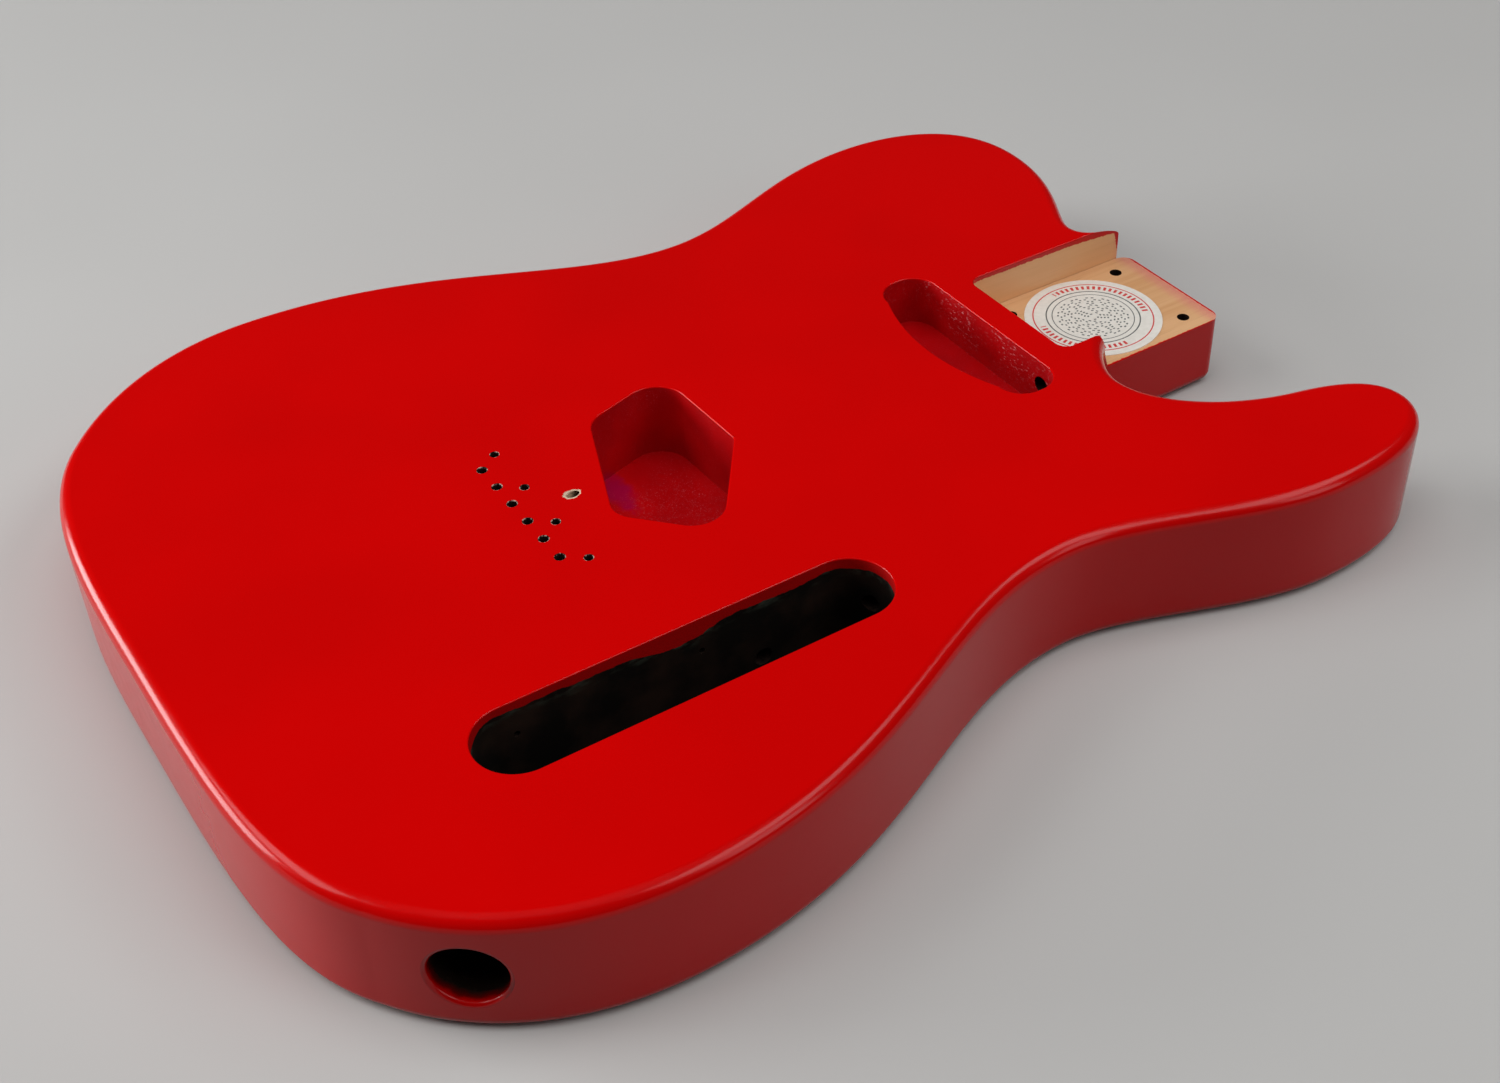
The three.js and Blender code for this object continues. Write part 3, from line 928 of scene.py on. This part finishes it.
def hole_grime():
    """Painted shade: near black inside, with a little bare wood where the drill chipped the lacquer at the
    mouth.
    """
    material, tree, shader, spot = surface("hole_grime")
    z = in_mm(tree, spot)[2]
    chip = noise(tree, spot, 1100, 3, 0.6)
    mouth = spread(tree, z, BODY_THICKNESS - 0.5, BODY_THICKNESS - 0.2, 0, 1)
    bare = times(tree, spread(tree, chip, 0.5, 0.56, 0, 1), mouth)
    # Painted shade: the inside is near black, in patches of black and brown
    dark = blend_colours(tree, spread(tree, chip, 0.3, 0.7, 0, 1), HOLE_SHADE_BLACK, HOLE_SHADE_BROWN)
    paint(tree, shader, bare, dark, HOLE_CHIP_WOOD)
    dull(shader, 0.9, 0.1)
    raise_bump(tree, shader, chip, 0.0001, 0.5)
    return material


def ground_wood():
    """Fresh pale wood at the slanted hole's mouth; further in, the wood is darkened as painted shade."""
    material, tree, shader, spot = surface("ground_wood")
    z = in_mm(tree, spot)[2]
    rough = noise(tree, spot, 1200, 3)
    depth = plus(tree, z, wobble(tree, spot, 1200, 0.3))
    pale = spread(tree, depth, BODY_THICKNESS - 0.75, BODY_THICKNESS - 0.5, 0, 1)
    # Painted shade: below the mouth the wood turns tan, then near black further in
    light = blend_colours(tree, pale, CHIP_TAN_PAINTED_SHADE, CHIP_PALE)
    dark = spread(tree, depth, BODY_THICKNESS - 2.8, BODY_THICKNESS - 1.2, 1, 0)
    paint(tree, shader, dark, light, CHIP_DARK_PAINTED_SHADE)
    dull(shader, 0.8)
    raise_bump(tree, shader, rough, 0.0001, 0.6)
    return material


def rout_paint():
    """Red sprayed into a rout: duller than the faces, with dry specks where the cutter ran."""
    material, tree, shader, spot = surface("rout_paint")
    drift = spread(tree, noise(tree, spot, 55, 3), 0.35, 0.65, 0, 1)
    base = blend_colours(tree, drift, ROUT_SHADE, ROUT_RED)
    x, y, z = in_mm(tree, spot)
    off_x = math_node(tree, "SUBTRACT", x, VIOLET_SPOT[0])
    off_y = math_node(tree, "SUBTRACT", y, VIOLET_SPOT[1])
    off_x = times(tree, times(tree, off_x, off_x), 4)
    far = math_node(tree, "SQRT", math_node(tree, "MULTIPLY_ADD", off_y, off_y, off_x))
    far = plus(tree, far, wobble(tree, spot, 160, 4, 3))
    violet = spread(tree, far, VIOLET_REACH * 0.3, VIOLET_REACH, 0.5, 0, True)
    floor = BODY_THICKNESS - BRIDGE_ROUT_DEPTH
    violet = times(tree, violet, spread(tree, z, floor + 1, floor + 5, 1, 0))
    base = blend_colours(tree, violet, base, ROUT_VIOLET)
    chips = noise(tree, spot, 2400, 3, 0.65)
    dry = noise(tree, spot, 1500, 3, 0.65, (1, 0.25, 0.6))
    wall = spread(tree, z, *STREAK_HEIGHTS, 0, 1)
    patches = spread(tree, noise(tree, spot, 42, 2), 0.4, 0.56, 0.1, 0.8)
    dust = times(tree, spread(tree, chips, 0.58, 0.68, 0, 1), patches)
    streaks = times(tree, spread(tree, dry, 0.58, 0.66, 0, 1), wall)
    streaks = times(tree, streaks, patches)
    streaks = times(tree, streaks, spread(tree, x, *STREAK_ALONG, 0, 1))
    dusty = blend_colours(tree, dust, base, ROUT_DUST)
    paint(tree, shader, streaks, dusty, ROUT_STREAK)
    dull(shader, 0.45, 0.2)
    raise_bump(tree, shader, chips, 0.00006, 0.5)
    return material


def cavity_paint():
    """Dark conductive paint, brushed on below a wavy band of red and thin along its edge."""
    material, tree, shader, spot = surface("cavity_paint")
    x, _, z = in_mm(tree, spot)
    wave = plus(tree, wobble(tree, spot, 20, 3.6, 1), wobble(tree, spot, 260, 0.3, 3))
    rise = spread(tree, x, *CAVITY_BAND_ALONG, 0, CAVITY_BAND_RISE)
    height = plus(tree, plus(tree, z, wave), rise)
    red = spread(tree, height, CAVITY_BAND_FOOT, CAVITY_BAND_FOOT + 0.35, 0, 1, True)
    thin = spread(tree, height, CAVITY_BAND_FOOT - 3.2, CAVITY_BAND_FOOT, 0, 1)
    brush = noise(tree, spot, 300, 4, 0.6, (0.35, 1, 1))
    thin = times(tree, thin, spread(tree, brush, 0.5, 0.7, 0, 0.8))
    tone = spread(tree, noise(tree, spot, 70, 4), 0.4, 0.7, 0, 1)
    coat = blend_colours(tree, tone, PAINT_BLACK, PAINT_BROWN)
    coat = blend_colours(tree, thin, coat, PAINT_THIN)
    paint(tree, shader, red, coat, CAVITY_RED)
    dull(shader, 0.8, 0.12)
    raise_bump(tree, shader, brush, 0.0001, 0.6)
    return material


def jack_paint():
    """Red on the lip and the first of the bore, darkened inwards as painted shade, black further in."""
    material, tree, shader, spot = surface("jack_paint")
    way = heading(JACK_ANGLE)
    along = add_node(tree, "ShaderNodeVectorMath", {"operation": "DOT_PRODUCT"})
    along.inputs[1].default_value = (way.x / MM, way.y / MM, 0)
    link(tree, spot, along.inputs[0])
    edge = plus(tree, along.outputs["Value"], wobble(tree, spot, 180, 0.8, 3))
    start = jack_start()
    wall = start + way * (wall_distance(start, way, body_outline()) - JACK_PAINT_INSET)
    mouth = (wall + Vector((LAYOUT_SHIFT, 0))).dot(way)
    red = spread(tree, edge, mouth - 2.5, mouth + 0.5, 0, 1, True)
    dark = blend_colours(tree, noise(tree, spot, 400, 3), PAINT_BLACK, PAINT_BROWN)
    # Painted shade: the red darkens from the lip into the bore
    lip = spread(tree, edge, mouth, mouth + 1.5, 0, 1)
    coat = blend_colours(tree, lip, BORE_RED_PAINTED_SHADE, LIP_RED_PAINTED_SHADE)
    paint(tree, shader, red, dark, coat)
    dull(shader, 0.25, 0.3)
    raise_bump(tree, shader, noise(tree, spot, 500, 3), 0.00006, 0.4)
    return material


def paper():
    material, tree, shader, spot = surface("label_paper")
    drift = spread(tree, noise(tree, spot, 500, 3), 0.35, 0.65, 0, 1)
    paint(tree, shader, drift, PAPER_SHADE, PAPER_WHITE)
    dull(shader, 0.5)
    raise_bump(tree, shader, noise(tree, spot, 3000, 2), 0.00002, 0.3)
    return material


def ink(name, colour):
    material, tree, shader, spot = surface(name)
    worn = spread(tree, noise(tree, spot, 2500, 3), 0.55, 0.75, 0, 0.4)
    paint(tree, shader, worn, colour, PAPER_WHITE)
    dull(shader, 0.45)
    return material


LACQUER = red_lacquer()
POCKET_WOOD = pocket_wood()
ROUT_PAINT = rout_paint()
CAVITY_PAINT = cavity_paint()
DRILLED_WOOD = drilled_wood()
HOLE_SHADE_AND_CHIPS = hole_grime()
GROUND_WOOD = ground_wood()
JACK_PAINT = jack_paint()
PAPER = paper()
RED_INK = ink("red_ink", INK_RED)
GREY_INK = ink("grey_ink", INK_GREY)
WALL_SWEEP = wall_sweep_tree()
DRILL_ROW = drill_row_tree()


# The body

def slab():
    return swept(body_outline(), LACQUER, BODY_THICKNESS, 0, EDGE_RADIUS, -1, EDGE_RADIUS, 0, EDGE_STEPS)


def rout_cutter(points, depth, material, rim=ROUT_RIM, foot=ROUT_FOOT):
    return swept(points, material, BODY_THICKNESS, BODY_THICKNESS - depth, rim, 1, foot, OVERRUN, RIM_STEPS)


def ear_cutter():
    """Opens the pocket's treble side past a short ear, whose end leans back from the floor."""
    front = HEEL_LENGTH + OVERRUN
    high = BODY_THICKNESS + OVERRUN
    side = [
        (TREBLE_EAR_FOOT, POCKET_FLOOR),
        (front, POCKET_FLOOR),
        (front, high),
        (TREBLE_EAR_TOP, high),
        (TREBLE_EAR_TOP, BODY_THICKNESS),
    ]
    work = bmesh.new()
    near = [work.verts.new(place(x, -POCKET_WIDTH, z)) for x, z in side]
    far = [work.verts.new(place(x, 0, z)) for x, z in side]
    work.faces.new(near)
    work.faces.new(far[::-1])
    for i in range(len(side)):
        j = (i + 1) % len(side)
        work.faces.new((near[i], far[i], far[j], near[j]))
    return finished(work, "ear_cutter", LACQUER)


def neck_screw_drill():
    """From the pocket's floor right through, with a softened rim at the back."""
    shaft = NECK_HOLE / 2
    return turned_mesh(rim_profile(shaft, 0, -1)[::-1] + [(shaft, POCKET_FLOOR + OVERRUN)])


def string_drill():
    shaft = STRING_HOLE / 2
    bore = FERRULE_BORE / 2
    profile = rim_profile(bore, 0, -1)[::-1]
    profile += [(bore, FERRULE_DEPTH), (shaft, FERRULE_DEPTH)]
    return turned_mesh(profile + rim_profile(shaft, BODY_THICKNESS, 1))


def bridge_screw_drill():
    shaft = BRIDGE_SCREW_HOLE / 2
    floor = BODY_THICKNESS - BRIDGE_SCREW_DEPTH
    tip = shaft * SCREW_TIP_SHARE
    profile = [(tip, floor), (shaft, floor + shaft)]
    return turned_mesh(profile + rim_profile(shaft, BODY_THICKNESS, 1))


def row(drill, count, x, spacing):
    """A drill repeated across the body, centred on its middle line."""
    start = place(x, -(count - 1) / 2 * spacing, 0)
    step = Vector((0, spacing, 0)) * MM
    return grow(show("drill", drill), DRILL_ROW, Count=count, Start=start, Step=step, Finish=HOLE_SHADE_AND_CHIPS)


def lug_cutter(from_rear):
    x = -CAVITY_SETBACK - CAVITY_LENGTH + from_rear
    wall = CAVITY_Y + CAVITY_WIDTH / 2
    start = (x, wall - OVERRUN, LUG_HEIGHT)
    return bore_mesh(start, (x, wall + LUG_DEPTH, LUG_HEIGHT), LUG_HOLE, HOLE_SHADE_AND_CHIPS)


def jack_cutter():
    """A bore from the cavity out through the curved side, whose lip is rounded all the way round."""
    outline = body_outline()
    start = jack_start()
    way = heading(JACK_ANGLE)
    across = heading(JACK_ANGLE + 90)
    radius = JACK_BORE / 2
    work = bmesh.new()
    rings = []
    lip = [(radius, None), (radius, -JACK_LIP)]
    for k in range(1, RIM_STEPS + 2):
        turn = math.pi / 2 * k / (RIM_STEPS + 1)
        lip.append((radius + JACK_LIP * (1 - math.cos(turn)), -JACK_LIP * (1 - math.sin(turn))))
    lip.append((radius + JACK_LIP, 2 * OVERRUN))
    for out, beyond in lip:
        ring = []
        for i in range(JACK_SIDES):
            turn = 2 * math.pi * i / JACK_SIDES
            base = start + across * (out * math.cos(turn))
            reach = 0 if beyond is None else wall_distance(base, way, outline) + beyond
            spot = base + way * reach
            ring.append(work.verts.new(place(spot.x, spot.y, BODY_THICKNESS / 2 + out * math.sin(turn))))
        rings.append(ring)
    join_rings(work, rings)
    split_caps(work)
    return finished(work, "jack_cutter", JACK_PAINT)


def chip_cutter():
    """A shallow ragged hollow where the lacquer has chipped round the slanted hole's mouth."""
    floor = BODY_THICKNESS - CHIP_DEPTH
    work = bmesh.new()
    rings = []
    for wider, z in ((0.0, floor), (CHIP_DEPTH, BODY_THICKNESS), (CHIP_DEPTH, BODY_THICKNESS + 1)):
        ring = []
        for i in range(CHIP_SIDES):
            turn = 2 * math.pi * i / CHIP_SIDES
            ragged = sum((share * math.sin(waves * turn + lag) for share, waves, lag in CHIP_WAVE_SHARES), 1)
            x = CHIP_MIDDLE[0] + (CHIP_HALF[0] * ragged + wider) * math.cos(turn)
            y = CHIP_MIDDLE[1] + (CHIP_HALF[1] * ragged + wider) * math.sin(turn)
            ring.append(work.verts.new(place(x, y, z)))
        rings.append(ring)
    join_rings(work, rings)
    split_caps(work)
    return finished(work, "chip_cutter", GROUND_WOOD)


def longer(way):
    """A drilled way that starts a little before its mouth."""
    start, end, diameter = way
    a = Vector(start)
    b = Vector(end)
    return tuple(a - (b - a).normalized() * OVERRUN), end, diameter


def body_mesh():
    string_x = -STRING_SETBACK
    cutters = [
        rout_cutter(pocket_outline(), POCKET_DEPTH, POCKET_WOOD, POCKET_RIM, POCKET_FOOT),
        ear_cutter(),
        rout_cutter(neck_rout_outline(), NECK_ROUT_DEPTH, ROUT_PAINT),
        rout_cutter(bridge_rout_outline(), BRIDGE_ROUT_DEPTH, ROUT_PAINT),
        rout_cutter(cavity_outline(), CAVITY_DEPTH, CAVITY_PAINT),
        bore_mesh(*longer(NECK_WIRE), HOLE_SHADE_AND_CHIPS),
        bore_mesh(*BRIDGE_WIRE, HOLE_SHADE_AND_CHIPS),
        bore_mesh(*longer(GROUND_WIRE), GROUND_WOOD),
        chip_cutter(),
        jack_cutter(),
        row(string_drill(), STRING_COUNT, string_x, STRING_SPACING),
        row(bridge_screw_drill(), BRIDGE_SCREW_COUNT, string_x + BRIDGE_SCREW_AHEAD, BRIDGE_SCREW_SPACING),
    ]
    for x in (NECK_ROW_X, NECK_ROW_X + NECK_SPACING_X):
        cutters.append(row(neck_screw_drill(), 2, x, NECK_SPACING_Y))
    for from_rear in LUG_FROM_REAR:
        cutters.append(lug_cutter(from_rear))
    mesh = slab()
    for cutter in cutters:
        mesh = combined(mesh, cutter, "DIFFERENCE")
    return mesh


def lacquer_rims(mesh):
    """Gives the rims of the routs and the pocket the lacquer of the front."""
    names = [material.name for material in mesh.materials]
    coat = names.index(LACQUER.name)
    plain = {names.index(m.name) for m in (POCKET_WOOD, ROUT_PAINT, CAVITY_PAINT)}
    height = (BODY_THICKNESS - ROUT_RIM) * MM
    for face in mesh.polygons:
        if face.material_index in plain and face.center.z > height:
            face.material_index = coat


def make_boards():
    mesh = body_mesh()
    lacquer_rims(mesh)
    bands = {
        "bass_side_board": (SEAM_Y, SIDE_REACH),
        "centre_board": (-SEAM_Y, SEAM_Y),
        "treble_side_board": (-SIDE_REACH, -SEAM_Y),
    }
    boards = {node: sliced(mesh, low, high, DRILLED_WOOD) for node, (low, high) in bands.items()}
    soft_shaded(list(boards.values()))
    for node, part in boards.items():
        part.name = "fine_" + node
        piece = show("fine_" + node, part)
        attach(piece, "root")
        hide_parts(node)


# The label, a polar grid

def label_radii():
    """The grid's radii: every printed edge, and the rosette's bands."""
    radii = {edge for ring in LABEL_RINGS for edge in ring[:2]}
    radii |= {*LABEL_TICKS, LABEL_RADIUS - LABEL_EDGE}
    radii |= {ROSETTE_START + ROSETTE_STEP * k for k in range(ROSETTE_COUNT + 1)}
    return sorted(radii)


def print_on(inner, outer, sector):
    """What is printed on a cell of the grid: 0 bare paper, 1 grey, 2 red."""
    middle = (inner + outer) / 2
    for low, high, colour in LABEL_RINGS:
        if low < middle < high:
            return 2 if colour == "red" else 1
    angle = 360 * (sector + 0.5) / LABEL_SECTORS
    if LABEL_TICKS[0] < middle < LABEL_TICKS[1]:
        inside = any(abs((angle - arc) % 360 - 180) > 180 - half for arc, half in TICK_ARCS)
        return 2 if inside and sector % 4 < 2 else 0
    band = math.floor((middle - ROSETTE_START) / ROSETTE_STEP)
    if 0 <= band < ROSETTE_COUNT and band % 2 == 0:
        cell = 2 * math.pi * middle / LABEL_SECTORS
        dash = sector // next(count for count in DASH_CELLS if cell * count <= DASH_LIMIT)
        return 1 if (dash + band // 2) % 2 == 0 and dash % 3 else 0
    return 0


def make_label():
    work = bmesh.new()
    low = POCKET_FLOOR
    high = POCKET_FLOOR + LABEL_THICKNESS
    radii = label_radii()
    rings = [(radius, high) for radius in radii]
    rings.append((LABEL_RADIUS - LABEL_EDGE / 3, high - LABEL_EDGE / 3))
    rings.append((LABEL_RADIUS, high - LABEL_EDGE))
    rings.append((LABEL_RADIUS, low))
    loops = []
    for radius, z in rings:
        loop = []
        for i in range(LABEL_SECTORS):
            turn = heading(360 * i / LABEL_SECTORS) * radius
            loop.append(work.verts.new(place(LABEL_X + turn.x, turn.y, z)))
        loops.append(loop)
    work.faces.new(loops[0])
    for k in range(1, len(loops)):
        for i in range(LABEL_SECTORS):
            j = (i + 1) % LABEL_SECTORS
            face = work.faces.new((loops[k - 1][i], loops[k][i], loops[k][j], loops[k - 1][j]))
            face.material_index = print_on(radii[k - 1], radii[k], i) if k < len(radii) else 0
    work.faces.new(loops[-1][::-1])
    mesh = finished(work, "round_label", PAPER, GREY_INK, RED_INK)
    soft_shaded([mesh])
    piece = show("round_label", mesh)
    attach(piece, "root")
    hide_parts("pocket_label")


# Studio

def make_floor():
    material, tree, shader, spot = surface("studio_floor")
    drift = spread(tree, noise(tree, spot, 3, 2), 0.3, 0.7, 0, 1)
    pale = blend_colours(tree, drift, FLOOR_SHADE, FLOOR_LIGHT)
    rays = tree.nodes.new("ShaderNodeLightPath")
    seen = math_node(tree, "MAXIMUM", rays.outputs["Is Camera Ray"], rays.outputs["Is Glossy Ray"])
    seen = math_node(tree, "MAXIMUM", seen, rays.outputs["Is Transmission Ray"])
    paint(tree, shader, seen, FLOOR_UNSEEN, pale)
    dull(shader, 0.9)
    mesh = bpy.data.meshes.new("floor")
    work = bmesh.new()
    bmesh.ops.create_circle(work, cap_ends=True, segments=FLOOR_SIDES, radius=FLOOR_RADIUS)
    work.to_mesh(mesh)
    work.free()
    mesh.transform(Matrix.Translation((MIDDLE[0], MIDDLE[1], -FLOOR_DROP)))
    mesh.materials.append(material)
    show("floor", mesh)


def make_lamp(name, azimuth, elevation, distance, size, power):
    """A soft lamp that faces the body."""
    data = bpy.data.lights.new(name, "AREA")
    data.shape = "RECTANGLE"
    data.size, data.size_y = size
    data.energy = power
    lamp = show(name, data)
    lamp.visible_camera = False
    lamp.visible_glossy = name != NOT_MIRRORED
    turn = heading(azimuth) * math.cos(math.radians(elevation))
    way = Vector((turn.x, turn.y, math.sin(math.radians(elevation))))
    lamp.location = Vector(MIDDLE) + way * distance
    lamp.rotation_euler = way.to_track_quat("Z", "Y").to_euler()


def make_light():
    for name, lamp in LAMPS.items():
        make_lamp(name, *lamp)
    world = bpy.data.worlds.new("studio")
    world.use_nodes = True
    back = world.node_tree.nodes["Background"]
    back.inputs["Color"].default_value = (1, 1, 1, 1)
    back.inputs["Strength"].default_value = WORLD_LEVEL
    bpy.context.scene.world = world


def make_camera():
    azimuth = math.radians(CAMERA_AZIMUTH)
    elevation = math.radians(CAMERA_ELEVATION)
    roll = math.radians(CAMERA_ROLL)
    right = Vector((math.cos(azimuth), math.sin(azimuth), 0))
    back = Vector((
        math.sin(azimuth) * math.cos(elevation),
        -math.cos(azimuth) * math.cos(elevation),
        math.sin(elevation),
    ))
    up = back.cross(right)
    turned_right = right * math.cos(roll) + up * math.sin(roll)
    turned_up = up * math.cos(roll) - right * math.sin(roll)
    data = bpy.data.cameras.new("camera")
    data.lens = LENS
    data.sensor_width = SENSOR
    data.clip_start = 0.01
    camera = show("camera", data)
    turn = Matrix((turned_right, turned_up, back)).transposed().to_4x4()
    camera.matrix_world = Matrix.Translation(Vector(CAMERA_PLACE) * MM) @ turn
    bpy.context.scene.camera = camera


make_boards()
make_label()
make_floor()
make_light()
make_camera()
bpy.context.scene.view_settings.view_transform = "Standard"
